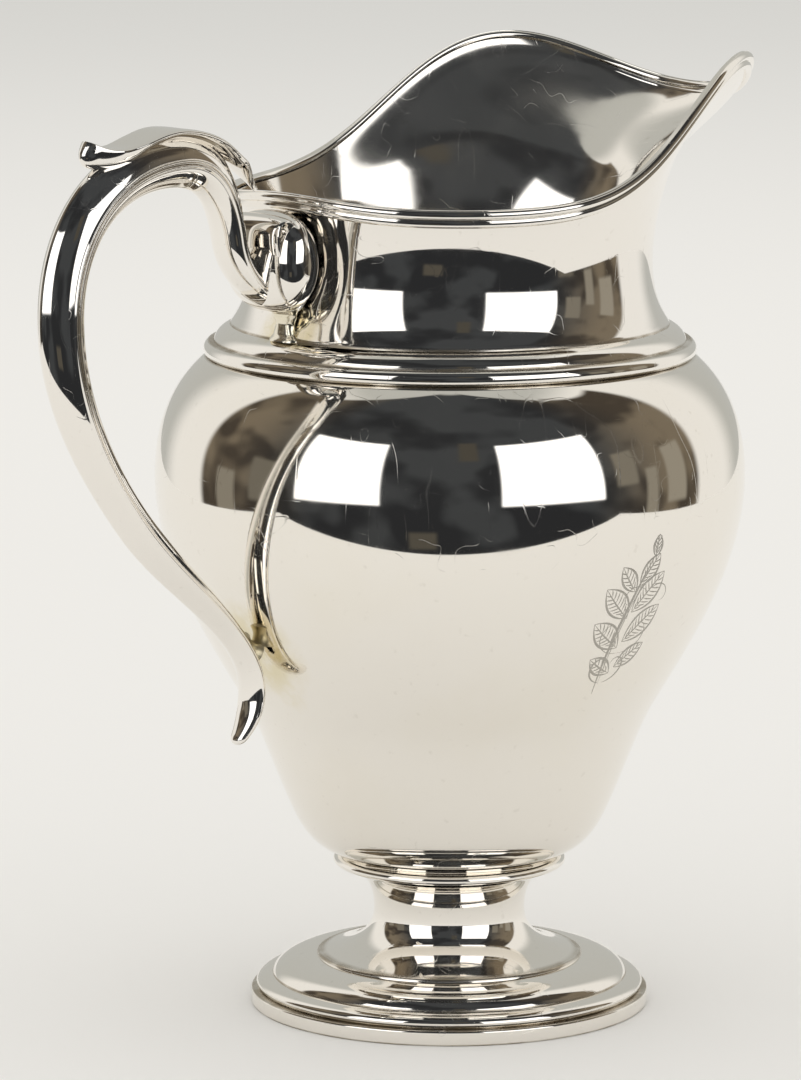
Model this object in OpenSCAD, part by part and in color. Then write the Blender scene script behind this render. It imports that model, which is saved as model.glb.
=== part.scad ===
// Silver water pitcher: a baluster body on a stepped pedestal foot, a helmet
// mouth with a pouring lip, and a hollow scroll handle with a thumb leaf.
// Millimetres. +Z is up, +X points to the pouring lip and the handle is at -X.
// The origin is the centre of the foot's underside, where the pitcher stands.

/* [Body and neck] */
// Thickness of the raised silver sheet
sheet = 1.0; // [0.9:0.1:1.2]
// Outside radius of the body at its widest
belly_r = 76; // [75:0.5:77]
// Height of the widest line of the body
belly_z = 139; // [138:0.5:140]
// Outside radius of the body where it meets the shoulder moulding
shoulder_r = 61.4; // [61:0.1:61.8]
// Height of the body's upper edge
shoulder_z = 170.6; // [170.3:0.1:171]
// Outside radius of the neck below its outward curve
waist_r = 50.4; // [50:0.1:51]

/* [Mouth] */
// Plan radius of the rim at the handle side
rim_r = 57; // [56.5:0.1:57.5]
// How far the lip reaches out beyond that radius
lip_reach = 30.9; // [30:0.1:31.5]
// Height of the rim at the handle side
rim_z = 213; // [211:0.5:215]
// How far each side peak stands above the rim
peak_h = 33.5; // [30:0.5:35]
// Direction of a side peak, in degrees from the lip
peak_angle = 37; // [33:1:41]
// Radius of the wire bead on the rim
bead_r = 1.3; // [1.1:0.1:1.5]

/* [Foot] */
// Outside radius of the ring that stands on the table
foot_r = 51.6; // [51:0.2:52]
// Height of that ring's upright face
ring_h = 3.9; // [3.7:0.1:4.1]
// Radius at the waist of the stem
stem_r = 19.6; // [19:0.2:20.2]
// Outside radius of the collar under the body
collar_r = 30.2; // [29.6:0.2:30.8]

/* [Handle] */
// Width of the handle bar at its broadest
bar_w = 14; // [13:0.25:15]
// Depth of the handle bar at its deepest
bar_t = 13; // [12.4:0.2:13.4]
// Wall thickness of each stamped handle half
handle_wall = 1.1; // [0.9:0.1:1.3]

/* [Hidden] */
// Colours of polished and of slightly toned silver
silver = [0.86, 0.85, 0.82];
toned = [0.80, 0.77, 0.70];
inside = [0.72, 0.71, 0.69];

// Levels shared by the pieces of the foot
collar_low = 36.4;
collar_top = 39;
seat_z = 40;
seat_r = 26;
step_r = 34.6;
step_z = 12.4;
dome_r = 46.2;
dome_z = 7.3;

// Levels shared by the neck and the shoulder moulding
band_r = 61;
band_z = 171.6;
band_half = 2.3;
neck_z = 171.2;
neck_flare = 6.2;
neck_flare_h = 8;
neck_foot_z = 178;

// Exponents and spreads that shape the mouth
lip_power = 5;
lip_fill = 33;
beak_start = 0.6;
peak_spread = 34;
back_rise = 2.5;
back_spread = 25;
post_h = 8.6;
post_w = 10;
throat_power = 3;
throat_ease = 0.7;

// ---- curves ----

// A point on a cubic Bezier curve with four control points.
function bez(p, t) =
    pow(1 - t, 3) * p[0] + 3 * t * pow(1 - t, 2) * p[1] + 3 * t * t * (1 - t) * p[2] + t * t * t * p[3];

// Points along a chain of Bezier curves, n to each, with the last end point.
function chain(curves, n) =
    concat([for (c = curves) for (i = [0 : n - 1]) bez(c, i / n)],
           [curves[len(curves) - 1][3]]);

function unit(v) = v / norm(v);

// Direction of travel at point i of an open outline.
function heading(p, i) = unit(p[min(i + 1, len(p) - 1)] - p[max(i - 1, 0)]);

// The unit vector to the left of the direction of travel.
function leftward(p, i) = [-heading(p, i)[1], heading(p, i)[0]];

// The closed outline of a sheet of thickness t on the left of an open outline.
function sheet_outline(p, t) =
    concat(p, [for (i = [len(p) - 1 : -1 : 0]) p[i] + t * leftward(p, i)]);

function mix(a, b, t) = a + (b - a) * t;

// Value at t in a list of evenly spaced values, eased between neighbours.
function along(list, t) =
    let (n = len(list) - 1, k = min(floor(t * n), n - 1), f = t * n - k)
    mix(list[k], list[k + 1], f * f * (3 - 2 * f));

// A closed skin over a stack of rings that have the same number of points.
// The first and last rings are capped.
module skin(rings) {
    n = len(rings[0]);
    m = len(rings);
    points = [for (ring = rings) for (p = ring) p];
    sides = [for (j = [0 : m - 2]) for (i = [0 : n - 1])
        for (tri = [[j * n + i, (j + 1) * n + i, (j + 1) * n + (i + 1) % n],
                    [j * n + i, (j + 1) * n + (i + 1) % n, j * n + (i + 1) % n]]) tri];
    caps = [[for (i = [0 : n - 1]) i], [for (i = [n - 1 : -1 : 0]) (m - 1) * n + i]];
    polyhedron(points, concat(sides, caps), convexity = 10);
}

// The same for a stack whose last ring joins its first.
module closed_skin(rings) {
    n = len(rings[0]);
    m = len(rings);
    points = [for (ring = rings) for (p = ring) p];
    sides = [for (j = [0 : m - 1]) for (i = [0 : n - 1])
        for (tri = [[j * n + i, ((j + 1) % m) * n + i, ((j + 1) % m) * n + (i + 1) % n],
                    [j * n + i, ((j + 1) % m) * n + (i + 1) % n, j * n + (i + 1) % n]]) tri];
    polyhedron(points, sides, convexity = 10);
}

// ---- body ----

// The body's outside, from the centre of its floor up to the shoulder.
body_curves = [
    [[0.01, seat_z], [9, seat_z], [17, seat_z], [seat_r, seat_z]],
    [[seat_r, seat_z], [33, seat_z], [37.4, 44.4], [40.2, 50.3]],
    [[40.2, 50.3], [45, 60.4], [48, 70.5], [52.5, 79]],
    [[52.5, 79], [63.4, 97.4], [belly_r, 117], [belly_r, belly_z]],
    [[belly_r, belly_z], [belly_r, 149.8], [73, 160.6], [64.2, 168.6]],
    [[64.2, 168.6], [63.4, 169.3], [62.4, 170], [shoulder_r, shoulder_z]],
];

module body_shell() {
    color(silver)
    rotate_extrude($fn = 128)
    polygon(sheet_outline(chain(body_curves, 14), sheet));
}

module shoulder_band() {
    color(silver)
    rotate_extrude($fn = 128)
    difference() {
        translate([band_r, band_z])
            circle(r = band_half, $fn = 40);
        // The moulding is soldered over the edge of the body.
        translate([0, band_z - 4])
            square([60.4, 8]);
        polygon(concat([[60, 160]], chain([body_curves[4], body_curves[5]], 14), [[60, 171]]));
    }
}

module shoulder_step() {
    step = [[60.8, 173.2], [60.4, 175.8], [58.6, 177.2], [56.2, 178]];
    color(silver)
    rotate_extrude($fn = 128)
    polygon(sheet_outline(chain([step], 14), sheet));
}

// ---- neck and mouth ----

// Height of the rim in the direction a, in degrees from the lip.
function rim_height(a) =
    let (b = abs(a) > 180 ? 360 - abs(a) : abs(a))
    rim_z + peak_h * (exp(-pow((b - peak_angle) / peak_spread, 2)) + exp(-pow((b + peak_angle) / peak_spread, 2)))
          + back_rise * exp(-pow((180 - b) / back_spread, 2));

// Plan radius of the rim in the direction a.
function rim_radius(a) = rim_r + lip_reach * pow((1 + cos(a)) / 2, lip_power);

// The lip is fuller just under its edge: a bump that is level with it again at u = 1.
function beak(u) = u * u * (1 - u);

// Outside radius of the neck in the direction a at height z.
function neck_radius(a, z) =
    let (t = max(0, (z - neck_foot_z) / (rim_height(a) - neck_foot_z)))
    waist_r + neck_flare * exp(-max(0, z - neck_foot_z) / neck_flare_h)
            + (rim_radius(a) - waist_r) * pow(t, throat_power - throat_ease * (1 + cos(a)) / 2)
            + lip_fill * pow((1 + cos(a)) / 2, lip_power) * beak(max(0, (t - beak_start) / (1 - beak_start)));

function neck_point(a, z, inset) =
    let (r = neck_radius(a, z) - inset)
    [r * cos(a), r * sin(a), z];

// One upright strip of the neck wall, up the outside and down the inside.
neck_steps = 16;
function neck_strip(a) =
    let (levels = [for (k = [0 : neck_steps]) mix(neck_z, rim_height(a), k / neck_steps)])
    concat([for (z = levels) neck_point(a, z, 0)],
           [for (k = [neck_steps : -1 : 0]) neck_point(a, levels[k], sheet)]);

module neck_shell() {
    color(inside)
    closed_skin([for (a = [0 : 4 : 356]) neck_strip(a)]);
}

// A ring of points of radius r around the rim's edge, dropped and pushed out.
function rim_ring(a, r, drop, out, tall) =
    let (z = rim_height(a) - drop, base = neck_radius(a, rim_height(a) - drop) + out)
    [for (k = [0 : 11])
        let (q = base + r * cos(k * 30))
        [q * cos(a), q * sin(a), z + tall * r * sin(k * 30)]];

module rim_bead() {
    color(silver)
    closed_skin([for (a = [0 : 4 : 356]) rim_ring(a, bead_r, bead_r, -0.2, 1)]);
}

module rim_reed() {
    color(silver)
    closed_skin([for (a = [0 : 4 : 356]) rim_ring(a, bead_r * 0.8, bead_r * 2.6, 0.2, 1.25)]);
}

// ---- foot ----

module foot_collar() {
    seat = [[seat_r, seat_z], [seat_r, seat_z - 0.6], [27, collar_top], [28.4, collar_top]];
    edge = [[28.4, collar_top], [collar_r + 0.6, collar_top], [collar_r + 0.6, collar_low],
            [28.4, collar_low]];
    color(silver)
    rotate_extrude($fn = 128)
    polygon(concat(chain([seat, edge], 10), [[14, collar_low], [14, seat_z]]));
}

module foot_stem() {
    stem = [
        [[step_r - 1, step_z + 0.8], [25.5, 14.6], [stem_r, 18], [stem_r, 24.6]],
        [[stem_r, 24.6], [stem_r, 30.4], [21.6, 35], [28.6, collar_low]],
    ];
    color(silver)
    rotate_extrude($fn = 128)
    intersection() {
        polygon(sheet_outline(chain(stem, 14), sheet));
        square([step_r, collar_low]);
    }
}

module stem_step() {
    color(silver)
    rotate_extrude($fn = 128)
    translate([step_r - 1, step_z])
    circle(r = 0.9, $fn = 24);
}

module foot_dome() {
    dome = [[dome_r, dome_z], [45.2, 10.6], [41.6, step_z], [step_r - 1.4, step_z]];
    color(silver)
    rotate_extrude($fn = 128)
    polygon(sheet_outline(chain([dome], 16), sheet));
}

module foot_border() {
    border = [[49.4, ring_h], [51.4, 5.4], [50, 7.5], [dome_r - 1, 7.6]];
    color(silver)
    rotate_extrude($fn = 128)
    polygon(concat(chain([border], 12), [[44.6, 7.6], [44.6, 6], [48, ring_h]]));
}

module foot_ring() {
    color(silver)
    rotate_extrude($fn = 128)
    polygon([[48, 0], [foot_r - 0.3, 0], [foot_r, 0.3], [foot_r, ring_h - 0.6],
             [foot_r - 0.6, ring_h], [48, ring_h]]);
}

// ---- handle ----

// The middle line of the bar in the X-Z plane, from the neck scroll over the
// arch and down to the tail. Each curve runs on smoothly from the last.
bar_curves = [
    [[-55.6, 187.4], [-61.8, 189], [-71.6, 194], [-73.5, 205]],
    [[-73.5, 205], [-75, 214.5], [-79, 226], [-92, 226]],
    [[-92, 226], [-112.4, 226], [-127.2, 211.2], [-127.2, 189]],
    [[-127.2, 189], [-127.2, 170.6], [-118, 153], [-104.9, 136.6]],
    [[-104.9, 136.6], [-93.4, 122.2], [-74.2, 110.2], [-68.4, 96.6]],
];
// Width, depth and position along the bar of the section, curve by curve.
bar_widths = [0.86, 0.93, 1, 1, 0.86, 0.62];
bar_depths = [0.40, 0.62, 1.1, 0.97, 0.75, 0.44];

// Points around one half of the bar's section, from the outer seam to the
// inner seam. Each is [depth, width] as parts of half the bar's size. Both
// faces are bevels with a soft edge on the seam, and the ridges between them
// are the raised lines along the bar.
bevel = 1.35;
outer_face = [for (k = [0 : 8]) let (a = k * 10) [pow(cos(a), bevel), 0.9 * pow(sin(a), bevel)]];
ridges = [[0.08, 0.98], [-0.02, 1], [-0.06, 0.93], [-0.11, 0.98], [-0.19, 0.98], [-0.23, 0.88]];
inner_face = [for (k = [0 : 6]) let (a = k * 15)
    [-0.28 - 0.72 * pow(sin(a), bevel), 0.86 * pow(max(0, cos(a)), bevel)]];
half_section = concat(outer_face, ridges, inner_face);

// The frame of the bar at a place s from 0 to 1: where, and the outward way.
function bar_place(s) =
    let (n = len(bar_curves), k = min(floor(s * n), n - 1)) bez(bar_curves[k], s * n - k);
function bar_outward(s) =
    let (d = unit(bar_place(min(1, s + 0.004)) - bar_place(max(0, s - 0.004)))) [d[1], -d[0]];

// A point of the section at s, q being [depth, width]; side is 1 or -1.
function bar_point(s, q, side) =
    let (c = bar_place(s), o = bar_outward(s),
         d = q[0] * bar_t * along(bar_depths, s) / 2,
         w = q[1] * bar_w * along(bar_widths, s) / 2)
    [c[0] + o[0] * d, side * w, c[1] + o[1] * d];

// The wall of one half at s: the outside points, then the inside points.
function half_ring(s, side) =
    let (scale_in = [1 - 2 * handle_wall / (bar_t * along(bar_depths, s)),
                     1 - 2 * handle_wall / (bar_w * along(bar_widths, s))])
    concat([for (q = half_section) bar_point(s, q, side)],
           [for (k = [len(half_section) - 1 : -1 : 0])
               bar_point(s, [half_section[k][0] * scale_in[0], half_section[k][1] * scale_in[1]], side)]);

bar_steps = 64;

module handle_near_half() {
    color(silver)
    skin([for (j = [0 : bar_steps]) half_ring(j / bar_steps, -1)]);
}

module handle_far_half() {
    color(silver)
    skin([for (j = [bar_steps : -1 : 0]) half_ring(j / bar_steps, 1)]);
}

// The scroll at the neck: a strip that turns up and in from the foot of the S.
scroll_c = [-60.9, 198.6];
scroll_half = [5.8, 12];
scroll_tilt = 0.32;
function scroll_line(t) =
    let (a = -82 + 400 * t, shrink = 1 - 0.42 * pow(t, 1.3))
    [scroll_c[0] + shrink * (scroll_half[0] * cos(a) - scroll_tilt * scroll_half[1] * sin(a)),
     scroll_c[1] + shrink * scroll_half[1] * sin(a) + 1.5 * t];

function scroll_ring(t) =
    let (c = scroll_line(t), d = unit(scroll_line(min(1, t + 0.01)) - scroll_line(max(0, t - 0.01))),
         n = [d[1], -d[0]], w = along([6.2, 10.6, 13, 12.8, 10.4, 6], t), h = mix(1.6, 0.8, t))
    [for (k = [0 : 11]) let (u = h * cos(k * 30), v = w * sin(k * 30))
        [c[0] + n[0] * u, v, c[1] + n[1] * u]];

module handle_scroll() {
    color(silver)
    skin([for (j = [0 : 44]) scroll_ring(j / 44)]);
}

// The domed boss that fills the eye of the scroll from side to side.
boss_c = [-60.6, 198.4];
boss_half = [6.8, 12.9, 11.2];
boss_round = 0.8;

module scroll_boss() {
    color(silver)
    skin([for (j = [0 : 18]) let (e = -87 + j * 174 / 18, wide = pow(cos(e), boss_round),
                                  out = sign(e) * pow(abs(sin(e)), boss_round))
        [for (k = [0 : 23]) [boss_c[0] + boss_half[0] * wide * cos(k * 15), boss_half[1] * out,
                             boss_c[1] + boss_half[2] * wide * sin(k * 15)]]]);
}

// The leaf laid over the arch: pointed towards the mouth, broad over the
// arch, and curled up at the thumb end.
leaf_curves = [
    [[-65.1, 216.6], [-72.4, 225.4], [-81.5, 232.2], [-93, 232.6]],
    [[-93, 232.6], [-102.4, 232.9], [-109.6, 225], [-119.4, 232]],
];
leaf_widths = [0.4, 5.2, 6.8, 6.9, 6.4, 5.6, 3.0];
leaf_tops = [0.7, 1.3, 1.5, 1.4, 1.3, 1.2, 0.9];
leaf_unders = [0.7, 1.3, 1.5, 1.4, 1.8, 4.2, 5.2];

function leaf_place(s) = let (k = s < 0.5 ? 0 : 1) bez(leaf_curves[k], s * 2 - k);

function leaf_ring(s) =
    let (c = leaf_place(s), d = unit(leaf_place(min(1, s + 0.01)) - leaf_place(max(0, s - 0.01))),
         n = [d[1], -d[0]], w = along(leaf_widths, s), top = along(leaf_tops, s), under = along(leaf_unders, s))
    [for (k = [0 : 15]) let (a = k * 22.5, up = (sin(a) > 0 ? top : under) * sin(a) + 0.55 * top * pow(cos(a), 2))
        [c[0] + n[0] * up, w * cos(a), c[1] + n[1] * up]];

module thumb_leaf() {
    color(silver)
    skin([for (j = [40 : -1 : 0]) leaf_ring(j / 40)]);
}

// The free end of the handle, curling away from the body below the pad.
tail_curve = [[-68.6, 96.6], [-66.4, 91.6], [-65.8, 84.6], [-72.6, 77.2]];

function tail_ring(t) =
    let (c = bez(tail_curve, t), d = unit(bez(tail_curve, t + 0.01) - bez(tail_curve, t - 0.01)),
         n = [d[1], -d[0]], w = mix(4.2, 1.8, t * t * t), h = mix(2.5, 1.1, t * t))
    [for (k = [0 : 15]) let (a = k * 22.5) [c[0] + n[0] * h * cos(a), w * sin(a), c[1] + n[1] * h * cos(a)]];

module handle_tail() {
    color(silver)
    skin([for (j = [0 : 16]) tail_ring(j / 16)]);
}

// The waisted saddle that joins the scroll to the foot of the neck.
module upper_post() {
    flank = [[3, 0], [1.5, 2.2], [1.5, 4.6], [3.4, post_h]];
    right = chain([flank], 10);
    left = [for (k = [len(right) - 1 : -1 : 0]) [-right[k][0], right[k][1]]];
    color(toned)
    difference() {
        translate([-55.6, post_w / 2, neck_foot_z])
            rotate([90, 0, 0])
            linear_extrude(post_w)
            polygon(concat(right, left));
        // The saddle is fitted to the round of the neck.
        rotate_extrude($fn = 128)
            polygon([for (z = [177 : 1 : 189]) [neck_radius(180, z), z], [0, 189], [0, 177]]);
    }
}

// The oval pad that joins the handle to the body.
module lower_pad() {
    color(toned)
    difference() {
        translate([-69.4, 0, 101.6])
            rotate([0, -60, 0])
            cylinder(h = 7, r = 3.6, center = true, $fn = 48);
        rotate_extrude($fn = 128)
            polygon(concat(chain(body_curves, 14), [[0, shoulder_z]]));
    }
}

body_shell();
neck_shell();
shoulder_band();
shoulder_step();
rim_bead();
rim_reed();
foot_collar();
foot_stem();
stem_step();
foot_dome();
foot_border();
foot_ring();
handle_near_half();
handle_far_half();
handle_scroll();
scroll_boss();
thumb_leaf();
handle_tail();
upper_post();
lower_pad();
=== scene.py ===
import math

import bmesh
import bpy
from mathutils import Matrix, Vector


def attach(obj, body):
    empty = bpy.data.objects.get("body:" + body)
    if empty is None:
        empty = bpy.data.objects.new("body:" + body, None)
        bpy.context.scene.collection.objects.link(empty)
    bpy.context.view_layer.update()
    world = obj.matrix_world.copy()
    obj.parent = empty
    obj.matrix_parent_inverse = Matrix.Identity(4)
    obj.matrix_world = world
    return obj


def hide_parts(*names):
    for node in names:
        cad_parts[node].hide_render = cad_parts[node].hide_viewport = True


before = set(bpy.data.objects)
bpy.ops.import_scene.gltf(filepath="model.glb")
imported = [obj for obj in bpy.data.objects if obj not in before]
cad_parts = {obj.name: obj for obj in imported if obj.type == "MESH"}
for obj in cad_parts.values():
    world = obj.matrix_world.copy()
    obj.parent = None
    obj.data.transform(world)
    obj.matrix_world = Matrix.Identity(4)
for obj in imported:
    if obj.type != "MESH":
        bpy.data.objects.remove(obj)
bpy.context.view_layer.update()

# A silver water pitcher on a pedestal foot, with a hollow scroll handle.
# Lengths in this file are millimetres until a mesh is made; MM turns them into
# metres. +X points to the pouring lip, the handle is at -X and the floor is z 0.
MM = 0.001
ROUND = 320  # faces around each turned piece

# ---- sizes shared with the solids ----

SHEET = 1.0  # thickness of the metal sheet
SEAT_Z = 40.0
SEAT_R = 26.0
BELLY_R = 75.99
BELLY_Z = 139.0
SHOULDER = (61.4, 170.6)
BAND_R = 61.0
BAND_Z = 171.6
BAND_HALF = 2.3
NECK_Z = 171.2
NECK_FOOT_Z = 178.0
WAIST_R = 50.4
RIM_R = 57.0
RIM_Z = 212.99
LIP_REACH = 30.89
LIP_FILL = 33.0
BEAK_START = 0.6
PEAK_H = 33.5
PEAK_ANGLE = 37.0
BEAD_R = 1.3
STEP_R = 34.6
STEP_Z = 12.4
STEM_R = 19.6
COLLAR_LOW = 36.4
COLLAR_TOP = 39.0
DOME_R = 46.2
DOME_Z = 7.3
RING_H = 3.9
FOOT_R = 51.6
PEAK_SPREAD = 34.0
LIP_POWER = 5
TIP_RISE = 1.2
TIP_SPREAD = 13.0
BACK_RISE = 2.5
BACK_SPREAD = 25.0
NECK_FLARE = 6.2
NECK_FLARE_H = 8.0
BAR_W = 14.0
BAR_T = 12.9
BAR_WALL = 1.1


# ---- curves ----

def mix(a, b, t):
    return a + (b - a) * t


def mix2(p, q, t):
    return tuple(mix(a, b, t) for a, b in zip(p, q))


def bez(p, t):
    """A point on a cubic Bezier curve with four control points."""
    w = ((1 - t) ** 3, 3 * t * (1 - t) ** 2, 3 * t * t * (1 - t), t ** 3)
    return tuple(sum(w[k] * p[k][i] for k in range(4)) for i in range(len(p[0])))


def chain(curves, n):
    """Points along a chain of Bezier curves, n to each, with the last end point."""
    points = [bez(c, i / n) for c in curves for i in range(n)]
    return points + [tuple(curves[-1][3])]


def heading(points, i):
    """The unit direction of a path at its point i."""
    a = points[max(i - 1, 0)]
    b = points[min(i + 1, len(points) - 1)]
    d = math.hypot(b[0] - a[0], b[1] - a[1])
    return (b[0] - a[0]) / d, (b[1] - a[1]) / d


def sheet_outline(points, t):
    """The closed outline of a sheet of thickness t on the left of an open outline."""
    back = []
    for i in range(len(points) - 1, -1, -1):
        dx, dy = heading(points, i)
        back.append((points[i][0] - t * dy, points[i][1] + t * dx))
    return points + back


def along(values, t):
    """Value at t in a list of evenly spaced values, eased between neighbours."""
    n = len(values) - 1
    k = min(int(t * n), n - 1)
    f = t * n - k
    return mix(values[k], values[k + 1], f * f * (3 - 2 * f))


def arc(cx, cy, r, a0, a1, n):
    """Points along an arc from angle a0 to a1, in degrees."""
    return [(cx + r * math.cos(math.radians(mix(a0, a1, i / n))),
             cy + r * math.sin(math.radians(mix(a0, a1, i / n)))) for i in range(n + 1)]


# ---- meshes ----

def make(name, points, faces, nodes, slot, materials, crease=38.0, second=None):
    """A smooth mesh piece that rides on the pitcher and stands for CAD nodes."""
    mesh = bpy.data.meshes.new(name)
    mesh.from_pydata([Vector(p) * MM for p in points], [], faces)
    skin = bmesh.new()
    skin.from_mesh(mesh)
    bmesh.ops.recalc_face_normals(skin, faces=skin.faces)
    skin.to_mesh(mesh)
    skin.free()
    for material in materials:
        mesh.materials.append(material)
    for polygon in mesh.polygons:
        polygon.use_smooth = True
        if second is not None and second(polygon.center / MM, polygon.normal):
            polygon.material_index = 1
    mesh.set_sharp_from_angle(angle=math.radians(crease))
    piece = bpy.data.objects.new(name, mesh)
    bpy.context.scene.collection.objects.link(piece)
    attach(piece, "root")
    if nodes:
        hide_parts(*nodes)
    return piece


def grid_faces(rows, columns, joined, caps=False):
    """Faces between rows of points; each row is a loop, and joined joins last to first."""
    faces = []
    for j in range(rows if joined else rows - 1):
        for i in range(columns):
            a, b = j * columns, (j + 1) % rows * columns
            k = (i + 1) % columns
            faces.append((a + i, b + i, b + k, a + k))
    if caps:
        faces.append(tuple(range(columns)))
        faces.append(tuple(range((rows - 1) * columns, rows * columns)))
    return faces


def lathe(name, outline, nodes, materials, second=None):
    """A closed outline of (radius, height) turned about the Z axis."""
    points = []
    for j in range(ROUND):
        a = 2 * math.pi * j / ROUND
        points += [(r * math.cos(a), r * math.sin(a), z) for r, z in outline]
    faces = grid_faces(ROUND, len(outline), True)
    return make(name, points, faces, nodes, "polished_silver", materials, second=second)


def skin(name, rings, nodes, materials, slot="polished_silver", closed=False, crease=38.0):
    """A skin over a stack of rings, capped at its ends or joined into a loop."""
    points = [p for ring in rings for p in ring]
    faces = grid_faces(len(rings), len(rings[0]), closed, caps=not closed)
    return make(name, points, faces, nodes, slot, materials, crease)


# ---- materials ----

class Nodes:
    """Short calls for building one material's node tree."""

    def __init__(self, tree):
        self.tree = tree

    def new(self, kind, **values):
        node = self.tree.nodes.new(kind)
        for key, value in values.items():
            setattr(node, key, value)
        return node

    def link(self, source, target):
        self.tree.links.new(source, target)

    def put(self, socket, value):
        if isinstance(value, bpy.types.NodeSocket):
            self.link(value, socket)
        else:
            socket.default_value = value

    def math(self, operation, a, b=0.0, clamp=False):
        node = self.new("ShaderNodeMath", operation=operation, use_clamp=clamp)
        self.put(node.inputs[0], a)
        self.put(node.inputs[1], b)
        return node.outputs[0]

    def smooth(self, value, low, high, start=0.0, end=1.0):
        """Runs from start to end as value goes from low to high."""
        node = self.new("ShaderNodeMapRange", interpolation_type="SMOOTHSTEP")
        self.put(node.inputs["Value"], value)
        for key, number in (("From Min", low), ("From Max", high), ("To Min", start), ("To Max", end)):
            self.put(node.inputs[key], number)
        return node.outputs["Result"]

    def place(self, scale=(1, 1, 1), turn=(0, 0, 0)):
        """Object coordinates, turned and scaled."""
        source = self.new("ShaderNodeTexCoord").outputs["Object"]
        node = self.new("ShaderNodeMapping")
        self.link(source, node.inputs["Vector"])
        node.inputs["Rotation"].default_value = [math.radians(v) for v in turn]
        node.inputs["Scale"].default_value = scale
        return node.outputs["Vector"]

    def noise(self, where, scale, detail=3.0, rough=0.5, distortion=0.0):
        node = self.new("ShaderNodeTexNoise")
        self.link(where, node.inputs["Vector"])
        node.inputs["Scale"].default_value = scale
        node.inputs["Detail"].default_value = detail
        node.inputs["Roughness"].default_value = rough
        node.inputs["Distortion"].default_value = distortion
        return node.outputs["Fac"]

    def blend(self, factor, a, b):
        node = self.new("ShaderNodeMix", data_type="RGBA")
        self.put(node.inputs["Factor"], factor)
        self.put(node.inputs["A"], a)
        self.put(node.inputs["B"], b)
        return node.outputs["Result"]

    def distance(self, point):
        """Distance in millimetres from a point of the object."""
        node = self.new("ShaderNodeVectorMath", operation="DISTANCE")
        self.link(self.new("ShaderNodeTexCoord").outputs["Object"], node.inputs[0])
        node.inputs[1].default_value = [v * MM for v in point]
        return self.math("MULTIPLY", node.outputs["Value"], 1 / MM)

    def height(self):
        """Height above the floor in millimetres."""
        node = self.new("ShaderNodeSeparateXYZ")
        self.link(self.new("ShaderNodeTexCoord").outputs["Object"], node.inputs[0])
        return self.math("MULTIPLY", node.outputs["Z"], 1 / MM)

    def hairlines(self, scale, stretch, turn, width, share):
        """Thin broken lines: the contour of a stretched noise, kept in patches."""
        field = self.noise(self.place(stretch, turn), scale, 1.0, 0.4)
        off = self.math("ABSOLUTE", self.math("SUBTRACT", field, 0.5))
        line = self.smooth(off, 0.0, width, 1.0, 0.0)
        patch = self.noise(self.place((1, 1, 1), turn), scale * 0.55, 2.0)
        return self.math("MULTIPLY", line, self.smooth(patch, share, share + 0.08))


SILVER = (0.935, 0.903, 0.853, 1)
WARM = (0.80, 0.72, 0.50, 1)
# Dark brown laid into grooves at seams: grime together with painted crease shade.
GRIME_AND_SHADE = (0.30, 0.24, 0.15, 1)
CUT_GREY = (0.47, 0.45, 0.41, 1)
SOLDER = (0.50, 0.43, 0.31, 1)

# Soldered joints, where the silver has toned: centre and reach in millimetres.
JOINTS = [((-66.5, 0, 99), 19.0), ((-64, -4, 84), 11.0), ((-56, -6, 181), 6.5), ((-55, 6, 181), 6.5)]


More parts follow.
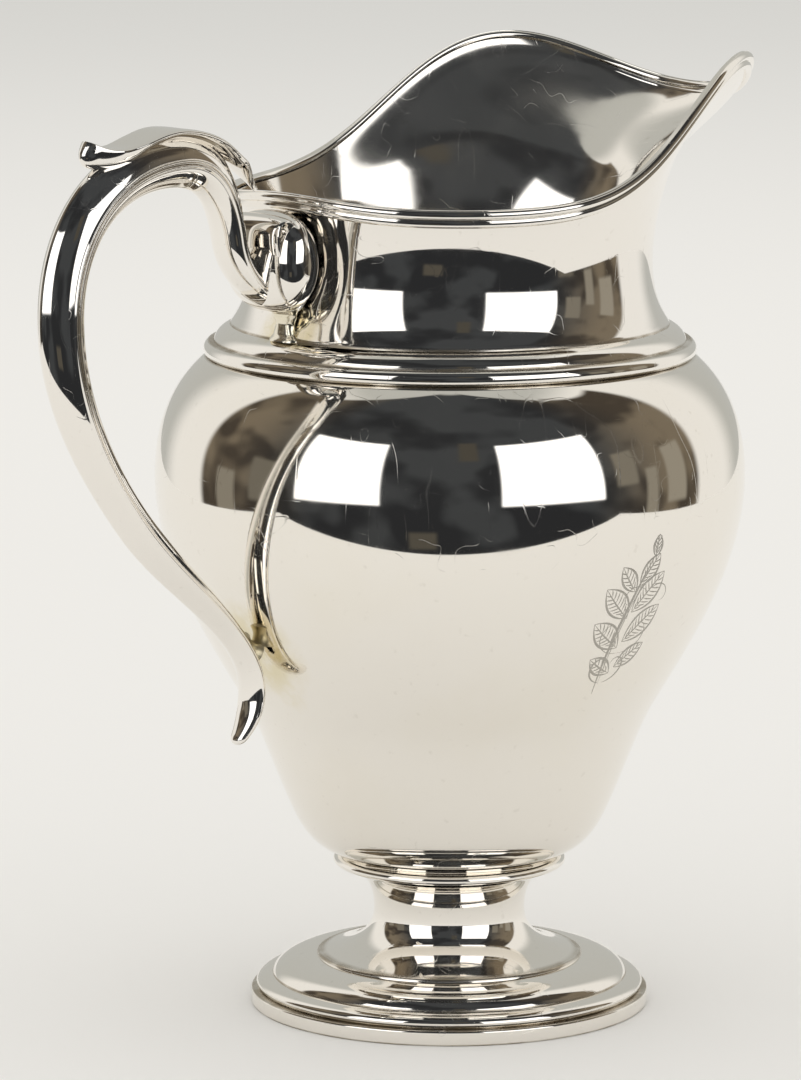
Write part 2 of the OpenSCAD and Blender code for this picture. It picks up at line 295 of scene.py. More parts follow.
def silver(name, rough=0.035, wear=1.0, wave=1.0, tone=0.0, seams=(), dull=0.0,
           clean=SILVER, joints=JOINTS):
    """Polished silver with hairlines, faint wiping marks and toning at joints.

    wear scales the hairlines, wave the slow unevenness of hand-worked sheet,
    tone the yellow cast and dull the film of handling. clean is the bare colour.
    joints are where solder has toned the silver, each a centre and a reach.
    seams are heights of grooves darkened with grime and painted shade, each with its own reach.
    """
    material = bpy.data.materials.new(name)
    material.use_nodes = True
    tree = material.node_tree
    n = Nodes(tree)
    shader = tree.nodes["Principled BSDF"]
    shader.inputs["Metallic"].default_value = 1.0

    plain = n.place()
    # Fine hairlines that run in several directions, and a few longer ones.
    fine = n.hairlines(130, (1, 1, 0.22), (20, 35, 10), 0.006, 0.50)
    cross = n.hairlines(150, (1, 0.2, 1), (70, -20, 40), 0.006, 0.52)
    long = n.hairlines(60, (1, 1, 0.12), (-35, 15, 80), 0.0035, 0.50)
    marks = n.math("MAXIMUM", n.math("MAXIMUM", fine, cross), long)

    smudge = n.noise(plain, 38, 5.0, 0.6, 0.8)
    film = n.smooth(smudge, 0.42, 0.72)

    toned = n.smooth(n.noise(plain, 22, 4.0, 0.55), 0.45, 0.75, tone * 0.5, tone + 0.04)
    for centre, reach in joints:
        spread = n.smooth(n.distance(centre), reach * 0.35, reach, 0.85, 0.0)
        uneven = n.smooth(n.noise(plain, 160, 3.0, 0.6), 0.30, 0.62, 0.35, 1.0)
        toned = n.math("MAXIMUM", toned, n.math("MULTIPLY", spread, uneven))

    # Random dirt specks; then, for each seam, a groove darkened with grime and painted shade.
    dirt_and_shade = n.smooth(n.noise(plain, 420, 2.0), 0.66, 0.78, 0.0, 0.10)
    z = n.height() if seams else None
    for level, reach in seams:
        off = n.math("ABSOLUTE", n.math("SUBTRACT", z, level))
        # The painted shade and grime fade with distance from the seam height.
        groove_shade = n.smooth(off, reach * 0.25, reach, 0.8, 0.0)
        broken = n.smooth(n.noise(plain, 90, 3.0), 0.35, 0.6, 0.45, 1.0)
        dirt_and_shade = n.math("MAXIMUM", dirt_and_shade, n.math("MULTIPLY", groove_shade, broken))

    colour = n.blend(toned, clean, WARM)
    colour = n.blend(dirt_and_shade, colour, GRIME_AND_SHADE)
    n.link(colour, shader.inputs["Base Color"])

    roughness = n.math("MULTIPLY_ADD", film, 0.03 + dull * 0.12)
    roughness.node.inputs[2].default_value = rough + dull * 0.06
    roughness = n.math("ADD", roughness, n.math("MULTIPLY", marks, 0.11 * wear))
    roughness = n.math("ADD", roughness, n.math("MULTIPLY", dirt_and_shade, 0.35))
    roughness = n.math("ADD", roughness, n.math("MULTIPLY", toned, 0.05), clamp=True)
    n.link(roughness, shader.inputs["Roughness"])

    slow = n.noise(plain, 26, 1.0, 0.4)
    bump = n.new("ShaderNodeBump")
    bump.inputs["Strength"].default_value = 0.30
    bump.inputs["Distance"].default_value = 0.00028 * wave
    n.link(slow, bump.inputs["Height"])
    scratch = n.new("ShaderNodeBump", invert=True)
    scratch.inputs["Strength"].default_value = 0.35
    scratch.inputs["Distance"].default_value = 0.000012 * wear
    n.link(marks, scratch.inputs["Height"])
    n.link(bump.outputs["Normal"], scratch.inputs["Normal"])
    n.link(scratch.outputs["Normal"], shader.inputs["Normal"])
    return material


# ---- body ----

BODY_CURVES = [
    [(0.01, SEAT_Z), (9, SEAT_Z), (17, SEAT_Z), (SEAT_R, SEAT_Z)],
    [(SEAT_R, SEAT_Z), (33, SEAT_Z), (37.4, 44.4), (40.2, 50.3)],
    [(40.2, 50.3), (45, 60.4), (48, 70.5), (52.5, 79)],
    [(52.5, 79), (63.4, 97.4), (BELLY_R, 117), (BELLY_R, BELLY_Z)],
    [(BELLY_R, BELLY_Z), (BELLY_R, 149.8), (73, 160.6), (64.2, 168.6)],
    [(64.2, 168.6), (63.4, 169.3), (62.4, 170), SHOULDER],
]


def body_radius(z):
    """Outside radius of the body at a height."""
    points = chain(BODY_CURVES[1:], 40)
    for (r0, z0), (r1, z1) in zip(points, points[1:]):
        if z0 <= z <= z1:
            return mix(r0, r1, (z - z0) / (z1 - z0))
    return points[-1][0]


def make_body(outside, inside):
    outline = sheet_outline(chain(BODY_CURVES, 30), SHEET)

    def inner(c, normal):
        return normal.x * c.x + normal.y * c.y < 0 or (c.z > SEAT_Z + 0.5 and normal.z > 0.9)

    lathe("body", outline, ["body_shell"], [outside, inside], second=inner)


def make_shoulder(material):
    """The half-round band over the joint, and the fillet between it and the neck."""
    band = arc(BAND_R, BAND_Z, BAND_HALF, -42, 101, 40)
    low = [p for p in band if p[0] >= 60.4]
    lathe("shoulder_moulding", [(60.4, 170.6)] + low + [(60.4, 173.8)], ["shoulder_band"], [material])
    step = [[(60.8, 173.2), (60.4, 175.8), (58.6, 177.2), (56.2, 178)]]
    lathe("shoulder_fillet", sheet_outline(chain(step, 26), SHEET), ["shoulder_step"], [material])


# ---- neck and mouth ----

def rim_height(a):
    """Height of the rim in the direction a, in degrees from the lip."""
    b = 360 - abs(a) if abs(a) > 180 else abs(a)
    near_peak = math.exp(-((b - PEAK_ANGLE) / PEAK_SPREAD) ** 2)
    far_peak = math.exp(-((b + PEAK_ANGLE) / PEAK_SPREAD) ** 2)
    peaks = near_peak + far_peak
    tip = TIP_RISE * math.exp(-(b / TIP_SPREAD) ** 2)
    return RIM_Z + PEAK_H * peaks + tip + BACK_RISE * math.exp(-((180 - b) / BACK_SPREAD) ** 2)


def frontness(a):
    """1 in the direction of the lip, 0 toward the handle."""
    return (1 + math.cos(math.radians(a))) / 2


def rim_radius(a):
    return RIM_R + LIP_REACH * frontness(a) ** LIP_POWER


def neck_radius(a, z):
    """Outside radius of the neck in the direction a at height z."""
    t = max(0.0, (z - NECK_FOOT_Z) / (rim_height(a) - NECK_FOOT_Z))
    flare = NECK_FLARE * math.exp(-max(0.0, z - NECK_FOOT_Z) / NECK_FLARE_H)
    power = 3 - 0.7 * frontness(a)
    u = max(0.0, (t - BEAK_START) / (1 - BEAK_START))
    beak = LIP_FILL * frontness(a) ** LIP_POWER * u * u * (1 - u)
    return WAIST_R + flare + (rim_radius(a) - WAIST_R) * t ** power + beak


def polar(a, r, z):
    return r * math.cos(math.radians(a)), r * math.sin(math.radians(a)), z


def make_neck(outside, inside):
    """The neck wall, as upright strips up the outside and down the inside."""
    steps = 60
    rings = []
    for j in range(ROUND):
        a = 360 * j / ROUND
        levels = [mix(NECK_Z, rim_height(a), k / steps) for k in range(steps + 1)]
        outer = [polar(a, neck_radius(a, z), z) for z in levels]
        inner = [polar(a, neck_radius(a, z) - SHEET, z) for z in reversed(levels)]
        rings.append(outer + inner)
    points = [p for ring in rings for p in ring]
    faces = grid_faces(ROUND, len(rings[0]), True)

    # The wall that faces the axis has the inside's material.
    def turned_in(c, normal):
        return normal.x * c.x + normal.y * c.y < 0

    make("neck", points, faces, ["neck_shell"], "polished_silver", [outside, inside], second=turned_in)


def rim_rings(r, drop, out, tall):
    """Rings of a wire that follows the rim, dropped and pushed outward."""
    rings = []
    corners = 24
    for j in range(ROUND):
        a = 360 * j / ROUND
        z = rim_height(a) - drop
        base = neck_radius(a, z) + out
        ring = []
        for k in range(corners):
            q = math.radians(k * 360 / corners)
            ring.append(polar(a, base + r * math.cos(q), z + tall * r * math.sin(q)))
        rings.append(ring)
    return rings


def make_rim(material):
    skin("rim_wire", rim_rings(BEAD_R, BEAD_R, -0.2, 1), ["rim_bead"], [material], closed=True)
    reed = rim_rings(BEAD_R * 0.8, BEAD_R * 2.6, 0.2, 1.25)
    skin("rim_moulding", reed, ["rim_reed"], [material], closed=True)


# ---- foot ----

def make_foot(material, ring_material):
    """From the top down: knop, stem, fillet, cushion, moulding and edge ring."""
    seat = [(SEAT_R, SEAT_Z), (SEAT_R, 39.4), (27, COLLAR_TOP), (28.4, COLLAR_TOP)]
    edge = [(28.4, COLLAR_TOP), (30.8, COLLAR_TOP), (30.8, COLLAR_LOW), (28.4, COLLAR_LOW)]
    outline = chain([seat, edge], 20) + [(14, COLLAR_LOW), (14, SEAT_Z)]
    lathe("foot_knop", outline, ["foot_collar"], [material])

    stem = [
        [(STEP_R - 1, STEP_Z + 0.8), (25.5, 14.6), (STEM_R, 18), (STEM_R, 24.6)],
        [(STEM_R, 24.6), (STEM_R, 30.4), (21.6, 35), (28.6, COLLAR_LOW)],
    ]
    outline = [(r, min(z, COLLAR_LOW)) for r, z in sheet_outline(chain(stem, 40), SHEET)]
    lathe("foot_stem_cone", outline, ["foot_stem"], [material])

    lathe("stem_fillet", arc(STEP_R - 1, STEP_Z, 0.9, 0, 345, 23), ["stem_step"], [material])

    dome = [[(DOME_R, DOME_Z), (45.2, 10.6), (41.6, STEP_Z), (STEP_R - 1.4, STEP_Z)]]
    lathe("foot_cushion", sheet_outline(chain(dome, 40), SHEET), ["foot_dome"], [material])

    border = [[(49.4, RING_H), (51.4, 5.4), (50, 7.5), (DOME_R - 1, 7.6)]]
    outline = chain(border, 30) + [(44.6, 7.6), (44.6, 6), (48, RING_H)]
    lathe("foot_moulding", outline, ["foot_border"], [ring_material])

    low = arc(FOOT_R - 0.3, 0.3, 0.3, -90, 0, 5)
    high = arc(FOOT_R - 0.6, RING_H - 0.6, 0.6, 0, 90, 7)
    lathe("foot_rim", [(48, 0)] + low + high + [(48, RING_H)], ["foot_ring"], [ring_material])


# ---- handle ----

BAR_CURVES = [
    [(-55.6, 187.4), (-61.8, 189), (-71.6, 194), (-73.5, 205)],
    [(-73.5, 205), (-75, 214.5), (-79, 226), (-92, 226)],
    [(-92, 226), (-112.4, 226), (-127.2, 211.2), (-127.2, 189)],
    [(-127.2, 189), (-127.2, 170.6), (-118, 153), (-104.9, 136.6)],
    [(-104.9, 136.6), (-93.4, 122.2), (-74.2, 110.2), (-68.4, 96.6)],
]
BAR_WIDTHS = [0.86, 0.93, 1, 1, 0.87, 0.74]
BAR_DEPTHS = [0.40, 0.62, 1.1, 0.97, 0.75, 0.44]
BEVEL = 1.35  # makes each face of the bar a bevel with a soft edge on the seam


def on_curves(curves, s):
    n = len(curves)
    k = min(int(s * n), n - 1)
    return bez(curves[k], s * n - k)


def frame_at(place, s, step=0.004):
    """Where a curve in the X-Z plane is at s, and the way to its right."""
    a, b = place(max(0.0, s - step)), place(min(1.0, s + step))
    d = math.hypot(b[0] - a[0], b[1] - a[1])
    return place(s), ((b[1] - a[1]) / d, -(b[0] - a[0]) / d)


def ridge(d):
    """Height of the two raised lines along the bar's edge, at depth d."""
    broad = math.exp(-((d - 0.03) / 0.055) ** 4)
    narrow = math.exp(-((d + 0.15) / 0.048) ** 4)
    return max(broad, narrow)


def half_section():
    """Points (depth, width) from the outer seam round to the inner seam."""
    outer = []
    for a in range(0, 84, 3):
        q = math.radians(a)
        outer.append((math.cos(q) ** BEVEL, 0.90 * math.sin(q) ** BEVEL))
    edge = []
    for k in range(1, 33):
        d = mix(outer[-1][0], -0.24, k / 32)
        edge.append((d, mix(outer[-1][1], 0.86, k / 32) + 0.10 * ridge(d)))
    inner = []
    for a in range(4, 91, 4):
        q = math.radians(a if a < 88 else 90)
        inner.append((-0.28 - 0.72 * math.sin(q) ** BEVEL, 0.86 * max(0.0, math.cos(q)) ** BEVEL))
    return outer + edge + inner


def bar_ring(s, side, section, thin=0.0):
    """One half of the bar at s; thin draws the outline in by a wall thickness."""
    c, out = frame_at(lambda t: on_curves(BAR_CURVES, t), s)
    depth = BAR_T * along(BAR_DEPTHS, s) / 2 - thin
    width = BAR_W * along(BAR_WIDTHS, s) / 2 - thin
    return [(c[0] + out[0] * d * depth, side * w * width, c[1] + out[1] * d * depth) for d, w in section]


def even_normals(piece, count):
    """Gives the seam on the middle plane the same normal from both halves.

    The first and last rings, of count points each, take their neighbours'
    normals, so that the end caps leave no line.
    """
    mesh = piece.data
    last = len(mesh.vertices) - count
    normals = []
    for i, vertex in enumerate(mesh.vertices):
        source = i + count if i < count else i - count if i >= last else i
        v = mesh.vertices[source].normal.copy()
        if abs(vertex.co.y) < 1e-6:
            v.y = 0
            v.normalize()
        normals.append(v)
    mesh.normals_split_custom_set_from_vertices(normals)


def make_handle_half(name, node, side, material):
    """One hollow half of the bar, on the near side (-1) or the far side (1)."""
    steps = 300
    section = half_section()
    hollow = section[::-4] + [section[0]]
    rings = []
    for j in range(steps + 1):
        s = j / steps
        rings.append(bar_ring(s, side, section) + bar_ring(s, side, hollow, BAR_WALL))
    piece = skin(name, rings, [node], [material], crease=180)
    even_normals(piece, len(rings[0]))


# The strip that rolls up at the bar's upper end.
SCROLL_C = (-60.9, 198.6)
SCROLL_HALF = (5.8, 12.0)
SCROLL_TILT = 0.32


def scroll_line(t):
    """The middle of the strip at t, from its outer end to its inner end."""
    a = math.radians(-82 + 400 * t)
    shrink = 1 - 0.42 * t ** 1.3
    rise = SCROLL_HALF[1] * math.sin(a)
    return (SCROLL_C[0] + shrink * (SCROLL_HALF[0] * math.cos(a) - SCROLL_TILT * rise),
            SCROLL_C[1] + shrink * rise + 1.5 * t)


def make_scroll(material):
    rings = []
    steps = 150
    for j in range(steps + 1):
        t = j / steps
        c, n = frame_at(scroll_line, t, 0.01)
        w = along([6.2, 9.6, 11, 10.8, 9, 6], t)
        h = mix(1.6, 0.8, t)
        ring = []
        for k in range(40):
            q = math.radians(k * 9)
            u = h * math.cos(q)
            ring.append((c[0] + n[0] * u, w * math.sin(q), c[1] + n[1] * u))
        rings.append(ring)
    skin("handle_volute", rings, ["handle_scroll"], [material], crease=60)


def make_boss(material):
    """The full, rounded boss that fills the roll."""
    centre, half = (-60.0, 198.6), (7.6, 14.4, 12.8)
    rings = []
    steps = 90
    for j in range(steps + 1):
        e = math.radians(-88.5 + j * 177 / steps)
        wide = math.cos(e) ** 0.74
        out = math.copysign(abs(math.sin(e)) ** 0.8, e)
        ring = []
        for k in range(72):
            q = math.radians(k * 5)
            ring.append((centre[0] + half[0] * wide * math.cos(q), half[1] * out,
                         centre[1] + half[2] * wide * math.sin(q)))
        rings.append(ring)
    skin("volute_boss", rings, ["scroll_boss"], [material], crease=60)


LEAF_POINTS = 64
LEAF_CURVES = [
    [(-65.1, 216.6), (-72.4, 225.4), (-81.5, 232.2), (-93, 232.6)],
    [(-93, 232.6), (-102.4, 232.9), (-109.6, 225), (-119.4, 232)],
]


def make_leaf(material):
    """The leaf along the arch, which ends in a horn for the thumb."""
    rings = []
    steps = 160
    for j in range(steps + 1):
        s = j / steps
        c, n = frame_at(lambda t: on_curves(LEAF_CURVES, t), s, 0.01)
        w = along([0.4, 5.2, 6.8, 6.9, 6.4, 5.6, 3.0], s)
        top = along([0.7, 1.3, 1.5, 1.4, 1.3, 1.2, 0.9], s)
        under = along([0.7, 1.3, 1.5, 1.4, 1.8, 4.2, 5.2], s)
        close = math.sqrt(max(0.0, 1 - max(0.0, (s - 0.95) / 0.05) ** 2)) * 0.94 + 0.06
        ring = []
        for k in range(LEAF_POINTS):
            q = math.radians(k * 360 / LEAF_POINTS)
            thick = top if k < LEAF_POINTS / 2 else under
            up = thick * math.sin(q) * close + 0.55 * top * math.cos(q) ** 2
            ring.append((c[0] + n[0] * up, w * close * math.cos(q), c[1] + n[1] * up))
        rings.append(ring)
    skin("arch_leaf", rings, ["thumb_leaf"], [material], crease=60)


def make_tail(material):
    """The free end: the bar's own section, growing rounder as it tapers."""
    curve = [(-68.4, 96.6), (-66.4, 91.6), (-65.8, 84.6), (-72.6, 77.2)]
    near = half_section()
    section = near + [(d, -w) for d, w in near[-2:0:-1]]
    end_depth = BAR_T * BAR_DEPTHS[-1] / 2
    end_width = BAR_W * BAR_WIDTHS[-1] / 2
    rings = []
    steps = 90
    for j in range(steps + 1):
        t = j / steps
        c, out = frame_at(lambda v: bez(curve, v), t, 0.01)
        close = math.sqrt(max(0.0, 1 - max(0.0, (t - 0.93) / 0.07) ** 2)) * 0.96 + 0.04
        depth = mix(end_depth, 1.2, t * t) * close
        width = mix(end_width, 2.2, t ** 3) * close
        plain = min(1.0, t / 0.7) ** 2
        ring = []
        for d, w in section:
            q = math.atan2(w, d)
            u = mix(d, math.cos(q), plain) * depth
            ring.append((c[0] + out[0] * u, mix(w, math.sin(q), plain) * width, c[1] + out[1] * u))
        rings.append(ring)
    skin("tail_curl", rings, ["handle_tail"], [material], crease=60)


SADDLE_X = -55.6
SADDLE_H = 8.6
PAD_AT = (-69.4, 101.6)
PAD_R = 3.6
PAD_TILT = -60.0


def make_joints(material, pad_material):
    """The saddle under the volute and the pad where the bar meets the body."""
    rings = []
    for j in range(31):
        t = j / 30
        z = NECK_FOOT_Z + SADDLE_H * t
        hx = along([3.0, 1.8, 1.5, 2.0, 3.4], t)
        hy = along([5.0, 3.6, 3.2, 4.0, 5.0], t)
        ring = []
        for k in range(48):
            q = math.radians(k * 7.5)
            x = SADDLE_X + hx * math.cos(q)
            y = hy * math.sin(q) * (1 + 0.05 * math.sin(9 * t + 3 * q))
            ring.append((x, y, z))
        rings.append(ring)
    skin("upper_solder_saddle", rings, ["upper_post"], [material], slot="toned_silver", crease=60)

    tilt = math.radians(PAD_TILT)
    rings = []
    for j in range(25):
        t = j / 24
        h = mix(-3.5, 1.6, t)
        r = PAD_R * (0.72 + 0.28 * (2 * t - 1) ** 2)
        ring = []
        for k in range(48):
            q = math.radians(k * 7.5)
            x, y = r * math.cos(q), r * math.sin(q)
            ring.append((PAD_AT[0] + x * math.cos(tilt) + h * math.sin(tilt), y,
                         PAD_AT[1] - x * math.sin(tilt) + h * math.cos(tilt)))
        rings.append(ring)
    skin("lower_solder_pad", rings, ["lower_pad"], [pad_material], slot="toned_silver", crease=60)


# ---- engraving ----

SPRAY_Z = 109.0  # height of the spray's middle
STROKE_LIFT = 0.012  # the strokes lie this far off the surface


def on_body(u, v, lift):
    """A point of the near side, u along the round and v up, in millimetres."""
    z = SPRAY_Z + v
    r = body_radius(z)
    a = -math.pi / 2 + u / r
    return (r + lift) * math.cos(a), (r + lift) * math.sin(a), z


def cut(path, width, points, faces):
    """One tapered bright-cut stroke along a path of (u, v) points."""
    n = len(path) - 1
    for i, (u, v) in enumerate(path):
        dx, dy = heading(path, i)
        w = width * (0.12 + 0.88 * math.sin(math.pi * min(1, (i + 0.4) / (n + 0.8)))) / 2
        base = len(points)
        points.append(on_body(u - dy * w, v + dx * w, STROKE_LIFT))
        points.append(on_body(u, v, STROKE_LIFT + w * 0.28))
        points.append(on_body(u + dy * w, v - dx * w, STROKE_LIFT))
        if i:
            faces.append((base - 3, base, base + 1, base - 2))
            faces.append((base - 2, base + 1, base + 2, base - 1))


def bow(p, q, sag, n=14):
    """A shallow arc from p to q that bows out to the left by sag."""
    dx, dy = q[0] - p[0], q[1] - p[1]
    length = math.hypot(dx, dy)
    path = []
    for i in range(n + 1):
        t = i / n
        off = 4 * sag * t * (1 - t)
        path.append((p[0] + dx * t - dy / length * off, p[1] + dy * t + dx / length * off))
    return path


def engraved_leaf(root, angle, length, points, faces):
    """A leaf of two bowed edges, a midrib and hatching on both sides."""
    a = math.radians(angle)
    tip = (root[0] + length * math.cos(a), root[1] + length * math.sin(a))
    sag = length * 0.24
    cut(bow(root, tip, sag), 0.62, points, faces)
    cut(bow(root, tip, -sag), 0.62, points, faces)
    cut(bow(root, tip, sag * 0.12), 0.42, points, faces)
    hatches = max(5, int(length / 1.3))
    for k in range(1, hatches):
        t = k / hatches
        mid = mix2(root, tip, t * 0.86)
        for side in (1, -1):
            reach = 4 * sag * t * (1 - t) * 0.84
            end = (mid[0] + math.cos(a) * 1.5 - side * math.sin(a) * reach,
                   mid[1] + math.sin(a) * 1.5 + side * math.cos(a) * reach)
            cut(bow(mid, end, side * 0.12, 5), 0.34, points, faces)


def curl(root, angle, size, turn, points, faces, width=0.5):
    """A tendril that winds inward."""
    path = []
    x, y = root
    a = math.radians(angle)
    steps = 34
    for i in range(steps + 1):
        path.append((x, y))
        x += size / steps * math.cos(a)
        y += size / steps * math.sin(a)
        a += turn * (0.06 + 0.20 * (i / steps) ** 1.6)
    cut(path, width, points, faces)


def make_engraving(material):
    """A spray of leaves and tendrils on the near side of the body."""
    points, faces = [], []
    stem = bow((-5, -19), (2, 18), 3.2, 30)
    cut(stem, 0.9, points, faces)
    cut([(u + 0.8, v) for u, v in stem[2:26]], 0.26, points, faces)
    engraved_leaf((2, 17), 84, 6, points, faces)
    for k, (v, reach) in enumerate(((-12, 9.5), (-5, 13), (3, 13), (10, 9.5))):
        u = -1.6 - 1.6 * math.cos(v / 12)
        engraved_leaf((u + 1, v), 38 + 6 * k, reach, points, faces)
        engraved_leaf((u, v - 1.5), 150 - 7 * k, reach * 0.94, points, faces)
    for side in (1, -1):
        curl((-4 + side * 0.5, -16), 90 - side * 80, 13, side, points, faces)
        curl((1.5, 8), 90 - side * 46, 12, -side * 0.9, points, faces, 0.26)
        curl((-2.5, -8), 90 - side * 92, 15, side * 0.8, points, faces, 0.26)
    make("engraved_spray", points, faces, [], "polished_silver", [material], 20.0)


# ---- studio ----

VIEW_AZIMUTH = 42.0  # the camera stands this many degrees round from the near side
CAMERA_DISTANCE = 1548.0
CAMERA_HEIGHT = 380.3
CAMERA_PITCH = 9.5
CAMERA_YAW = -0.47
FOCAL_PIXELS = 6082.6  # focal length, in pixels of the picture
LONG_SIDE = 1080  # pixels along the longer side of the picture
SENSOR = 36.0


def from_view(right, away, up):
    """A vector given as to the camera's right, away from it and up."""
    a = math.radians(VIEW_AZIMUTH)
    x = right * math.cos(a) + away * math.sin(a)
    y = -right * math.sin(a) + away * math.cos(a)
    return Vector((x, y, up))


def make_camera():
    data = bpy.data.cameras.new("camera")
    data.sensor_width = SENSOR
    data.lens = SENSOR * FOCAL_PIXELS / LONG_SIDE
    data.clip_start, data.clip_end = 0.05, 60.0
    camera = bpy.data.objects.new("camera", data)
    bpy.context.scene.collection.objects.link(camera)
    camera.location = from_view(0, -CAMERA_DISTANCE, CAMERA_HEIGHT) * MM
    pitch, yaw = math.radians(CAMERA_PITCH), math.radians(CAMERA_YAW)
    look = from_view(math.sin(yaw) * math.cos(pitch), math.cos(yaw) * math.cos(pitch), -math.sin(pitch))
    camera.rotation_mode = "QUATERNION"
    camera.rotation_quaternion = look.to_track_quat("-Z", "Y")
    bpy.context.scene.camera = camera


# Where things stand round the pitcher, as seen from it: degrees to the right of
# the camera's direction, and degrees above the horizon.
SOFTBOXES = [(-62, -27, -3, 37), (20, 62, -3, 37)]
# Dim wall panels and shelves of the room: two azimuths, two elevations, level.
FURNISHINGS = [
    (68, 78, 2, 20, 0.20), (82, 88, -14, 8, 0.26), (93, 104, -8, 16, 0.30), (64, 74, -22, -12, 0.13),
    (-84, -72, -6, 14, 0.16), (-102, -92, -18, 4, 0.24), (-16, -5, -24, -16, 0.085), (4, 12, 26, 40, 0.07),
]
DARK_HALF_WIDTH = 112  # the room spans this many degrees to each side
DARK_TOP = 86  # and reaches this high in the middle
DARK_SIDE_TOP = 58  # and this high at its sides
PAPER_EDGE = 335.0  # the paper ends this far in front of the pitcher
PAPER_SIDE = 760.0  # and this far to each side


def split_by_view(n, x, y):
    """Sockets for the parts of (x, y) that point away from the camera and to its right."""
    parts = []
    for way in (from_view(0, 1, 0), from_view(1, 0, 0)):
        parts.append(n.math("ADD", n.math("MULTIPLY", x, way.x), n.math("MULTIPLY", y, way.y)))
    return parts


def make_world():
    """The studio as mirrored by the silver, and plain soft light for all else."""
    world = bpy.data.worlds.new("studio")
    bpy.context.scene.world = world
    world.use_nodes = True
    tree = world.node_tree
    n = Nodes(tree)
    tree.nodes.clear()
    split = n.new("ShaderNodeSeparateXYZ")
    n.link(n.new("ShaderNodeTexCoord").outputs["Generated"], split.inputs[0])
    x, y, z = split.outputs
    away, side = split_by_view(n, x, y)
    front = n.math("MULTIPLY", away, -1.0)
    azimuth = n.math("MULTIPLY", n.math("ARCTAN2", side, front), 180 / math.pi)
    elevation = n.math("MULTIPLY", n.math("ARCSINE", z), 180 / math.pi)

    def window(left, right_edge, low, high, soft):
        parts = [
            n.smooth(azimuth, left - soft, left + soft),
            n.smooth(azimuth, right_edge + soft, right_edge - soft),
            n.smooth(elevation, low - soft, low + soft),
            n.smooth(elevation, high + soft, high - soft),
        ]
        mask = parts[0]
        for part in parts[1:]:
            mask = n.math("MULTIPLY", mask, part)
        return mask

    outward = n.math("ABSOLUTE", azimuth)
    under = n.math("SUBTRACT", n.smooth(outward, 35, 105, DARK_TOP, DARK_SIDE_TOP), elevation)
    within = n.smooth(outward, DARK_HALF_WIDTH + 2, DARK_HALF_WIDTH - 2)
    room = n.math("MULTIPLY", n.smooth(under, -1.5, 1.5), within)
    uneven = n.noise(n.new("ShaderNodeTexCoord").outputs["Generated"], 2.2, 2.0)
    wall = n.blend(n.smooth(outward, 55, 100), (0.050, 0.053, 0.056, 1), (0.190, 0.155, 0.110, 1))
    shade = n.blend(n.smooth(outward, 55, 100), (0.024, 0.025, 0.027, 1), (0.062, 0.050, 0.038, 1))
    dark = n.blend(n.smooth(uneven, 0.42, 0.58), shade, wall)
    for left, right_edge, low, high, level in FURNISHINGS:
        colour = (level, level * 0.90, level * 0.72, 1)
        dark = n.blend(window(left, right_edge, low, high, 1.2), dark, colour)
    behind = n.math("MAXIMUM", n.smooth(outward, 132, 150), n.smooth(elevation, 58, 72))
    pale = n.blend(behind, (0.86, 0.84, 0.80, 1), (0.50, 0.50, 0.47, 1))
    mirrored = n.blend(room, pale, dark)
    for left, right_edge, low, high in SOFTBOXES:
        mirrored = n.blend(window(left, right_edge, low, high, 0.8), mirrored, (1.6, 1.6, 1.6, 1))
    seen = (0.72, 0.715, 0.69, 1)
    lit = (1.0, 0.99, 0.97, 1)

    rays = n.new("ShaderNodeLightPath").outputs
    colour = n.blend(rays["Is Glossy Ray"], lit, mirrored)
    colour = n.blend(rays["Is Camera Ray"], colour, seen)
    shader = n.new("ShaderNodeBackground")
    n.link(colour, shader.inputs["Color"])
    output = n.new("ShaderNodeOutputWorld")
    n.link(shader.outputs[0], output.inputs["Surface"])


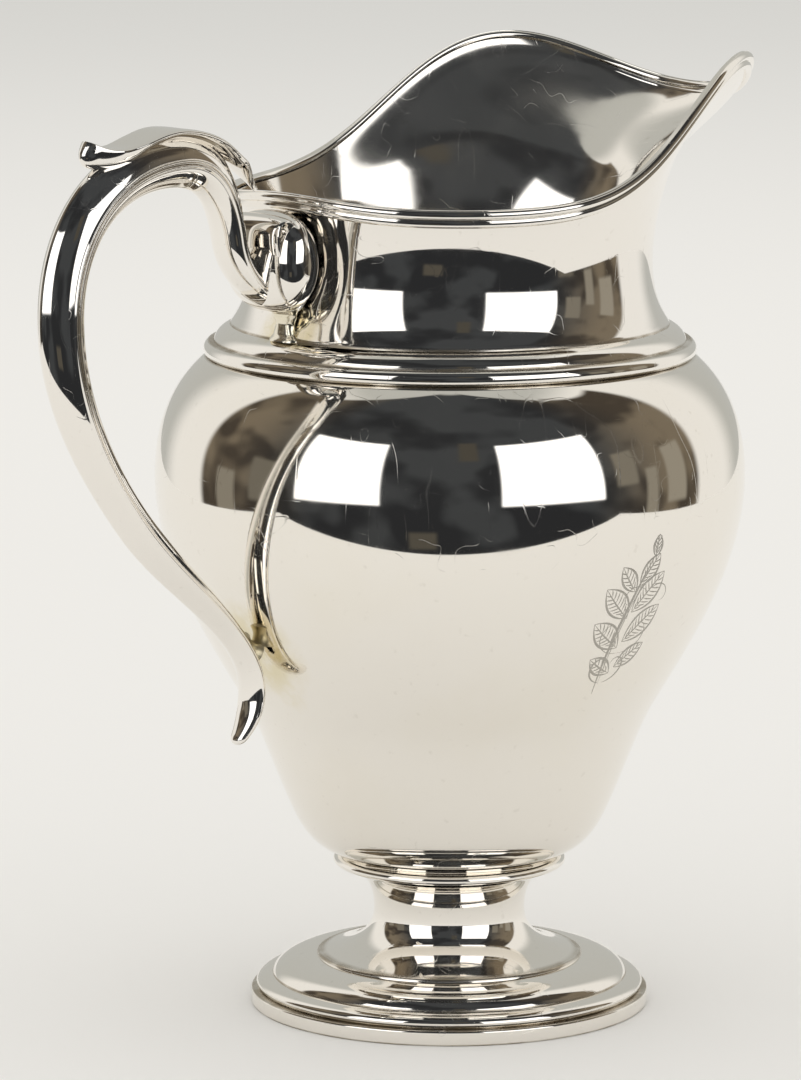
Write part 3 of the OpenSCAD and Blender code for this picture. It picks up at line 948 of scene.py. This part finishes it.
def make_floor():
    """Pale paper. Mirrored rays see it end in front of the pitcher and at its sides."""
    material = bpy.data.materials.new("paper")
    material.use_nodes = True
    tree = material.node_tree
    n = Nodes(tree)
    tree.nodes.clear()
    split = n.new("ShaderNodeSeparateXYZ")
    n.link(n.new("ShaderNodeTexCoord").outputs["Object"], split.inputs[0])
    depth, side = split_by_view(n, split.outputs[0], split.outputs[1])
    # The paper is painted darker from 1 m to 3.6 m away from the camera: painted shade for the light
    # falling off, not the paper's own colour.
    paper_falloff_shade = n.blend(n.smooth(depth, 1.0, 3.6), (0.86, 0.85, 0.825, 1), (0.668, 0.665, 0.645, 1))
    paper = n.new("ShaderNodeBsdfDiffuse")
    n.link(paper_falloff_shade, paper.inputs["Color"])
    clear = n.new("ShaderNodeBsdfTransparent")
    over = n.new("ShaderNodeMixShader")
    mirrored = n.new("ShaderNodeLightPath").outputs["Is Glossy Ray"]
    front = n.smooth(depth, -PAPER_EDGE * MM, -(PAPER_EDGE + 2) * MM)
    past = n.smooth(n.math("ABSOLUTE", side), PAPER_SIDE * MM, (PAPER_SIDE + 4) * MM)
    beyond = n.math("MAXIMUM", front, past)
    n.link(n.math("MULTIPLY", mirrored, beyond), over.inputs[0])
    n.link(paper.outputs[0], over.inputs[1])
    n.link(clear.outputs[0], over.inputs[2])
    output = n.new("ShaderNodeOutputMaterial")
    n.link(over.outputs[0], output.inputs["Surface"])
    mesh = bpy.data.meshes.new("floor")
    half = 12.0
    corners = [(-half, -half, 0), (half, -half, 0), (half, half, 0), (-half, half, 0)]
    mesh.from_pydata(corners, [], [(0, 1, 2, 3)])
    mesh.materials.append(material)
    floor = bpy.data.objects.new("floor", mesh)
    floor.location.z = -0.00005
    bpy.context.scene.collection.objects.link(floor)


# ---- the whole scene ----

# The seams lists put grime and painted shade into the grooves at those heights.
polished = silver("silver_polished", seams=[(NECK_Z, 0.8), (NECK_FOOT_Z, 0.7)])
body_skin = silver("silver_body", wear=1.3, tone=0.11, seams=[(170.0, 0.7)])
interior = silver("silver_inside", rough=0.05, wear=1.3, dull=0.4, tone=0.10)
moulding = silver("silver_mouldings", wear=1.3, tone=0.05, seams=[(170.2, 0.6), (173.9, 0.5)])
foot_skin = silver("silver_foot", tone=0.06, seams=[(DOME_Z + 0.3, 0.5), (STEP_Z + 0.6, 0.6)])
foot_edge = silver("silver_foot_edge", wear=1.8, tone=0.06, seams=[(RING_H, 0.45), (0.0, 0.5)])
handle_skin = silver("silver_handle", wear=1.1, wave=0.7, joints=JOINTS[2:])
toned_skin = silver("silver_toned", rough=0.12, wear=0.8, tone=0.75)
solder = silver("silver_solder", rough=0.30, wear=0.5, tone=0.9, dull=0.6, clean=SOLDER)
bright_cut = silver("silver_engraved", rough=0.42, wear=0.5, wave=0.0, clean=CUT_GREY)

make_body(body_skin, interior)
make_shoulder(moulding)
make_neck(polished, interior)
make_rim(moulding)
make_foot(foot_skin, foot_edge)
make_handle_half("handle_near", "handle_near_half", -1, handle_skin)
make_handle_half("handle_far", "handle_far_half", 1, handle_skin)
make_scroll(handle_skin)
make_boss(handle_skin)
make_leaf(handle_skin)
make_tail(handle_skin)
make_joints(toned_skin, solder)
make_engraving(bright_cut)

make_camera()
make_world()
make_floor()
bpy.context.scene.view_settings.view_transform = "Standard"
